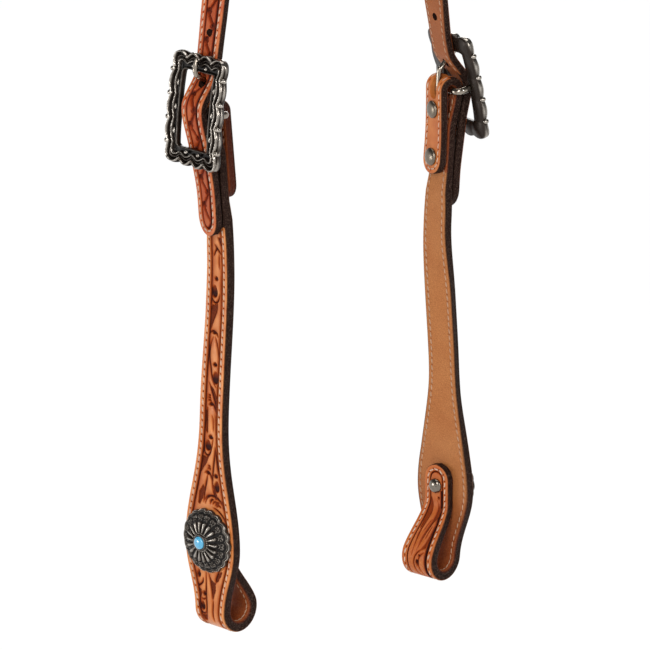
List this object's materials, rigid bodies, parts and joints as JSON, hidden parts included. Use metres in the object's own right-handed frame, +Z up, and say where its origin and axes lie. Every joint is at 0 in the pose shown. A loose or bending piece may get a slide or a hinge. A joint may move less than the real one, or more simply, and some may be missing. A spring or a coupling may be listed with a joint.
{
  "type": "western headstall",
  "caption": "Doubled and tooled leather headstall with a crown strap, scalloped tongue buckles, and flared cheeks with stone-set conchos and screwed bit loops.",
  "frame": {"origin": "the underside of the crown strap's highest point, where the horse's poll or a peg holds the headstall", "axes": "+Z up; X runs from the left cheek to the right one; the near edges of the straps face -Y"},
  "size_m": [0.2101, 0.0463, 0.5208],
  "materials": {
    "tooled_leather": "satin, oiled",
    "lining_leather": "satin",
    "antiqued_nickel_silver": "polished over dark hollows",
    "polished_nickel_silver": "polished",
    "nickel_plate": "satin",
    "turquoise": "polished"
  },
  "bodies": {
    "crown": {"crown_face": "tooled_leather", "crown_lining": "lining_leather"},
    "left_buckle": {"left_buckle_frame": "antiqued_nickel_silver", "left_buckle_bar": "polished_nickel_silver"},
    "left_tongue": {"left_buckle_tongue": "antiqued_nickel_silver"},
    "left_cheek": {"left_cheek_face": "tooled_leather", "left_cheek_lining": "lining_leather", "left_upper_rivet": "nickel_plate", "left_lower_rivet": "nickel_plate", "left_concho": "antiqued_nickel_silver", "left_concho_stone": "turquoise", "left_concho_post": "polished_nickel_silver"},
    "left_screw": {"left_bit_screw": "nickel_plate"},
    "right_buckle": {"right_buckle_frame": "antiqued_nickel_silver", "right_buckle_bar": "polished_nickel_silver"},
    "right_tongue": {"right_buckle_tongue": "antiqued_nickel_silver"},
    "right_cheek": {"right_cheek_face": "tooled_leather", "right_cheek_lining": "lining_leather", "right_upper_rivet": "nickel_plate", "right_lower_rivet": "nickel_plate", "right_concho": "antiqued_nickel_silver", "right_concho_stone": "turquoise", "right_concho_post": "polished_nickel_silver"},
    "right_screw": {"right_bit_screw": "nickel_plate"}
  },
  "joints": [
    {"name": "left_buckle_rock", "type": "hinge", "parent": "crown", "child": "left_buckle", "pos_m": [-0.0807, 0, -0.231], "axis": [-0.1132, -0.9936, 0], "range_deg": [0, 1.5]},
    {"name": "left_tongue_lift", "type": "hinge", "parent": "left_buckle", "child": "left_tongue", "pos_m": [-0.0807, 0, -0.231], "axis": [-0.1132, -0.9936, 0], "range_deg": [0, 5]},
    {"name": "left_cheek_swing", "type": "hinge", "parent": "left_buckle", "child": "left_cheek", "pos_m": [-0.0807, 0, -0.231], "axis": [-0.1132, -0.9936, 0], "range_deg": [0, 10]},
    {"name": "left_bit_screw_turn", "type": "hinge", "parent": "left_cheek", "child": "left_screw", "pos_m": [-0.07329, -0.00013, -0.45653], "axis": [0.9998, -0.0175, -0.0035], "range_deg": [0, 2160]},
    {"name": "right_buckle_rock", "type": "hinge", "parent": "crown", "child": "right_buckle", "pos_m": [0.0925, 0, -0.247], "axis": [0.2924, 0.9563, 0], "range_deg": [0, 2]},
    {"name": "right_tongue_lift", "type": "hinge", "parent": "right_buckle", "child": "right_tongue", "pos_m": [0.0925, 0, -0.247], "axis": [0.2924, 0.9563, 0], "range_deg": [0, 5]},
    {"name": "right_cheek_swing", "type": "hinge", "parent": "right_buckle", "child": "right_cheek", "pos_m": [0.0925, 0, -0.247], "axis": [0.2924, 0.9563, 0], "range_deg": [0, 10]},
    {"name": "right_bit_screw_turn", "type": "hinge", "parent": "right_cheek", "child": "right_screw", "pos_m": [0.08774, -0.00016, -0.4661], "axis": [-0.9993, -0.0328, -0.0157], "range_deg": [0, 2160]}
  ]
}
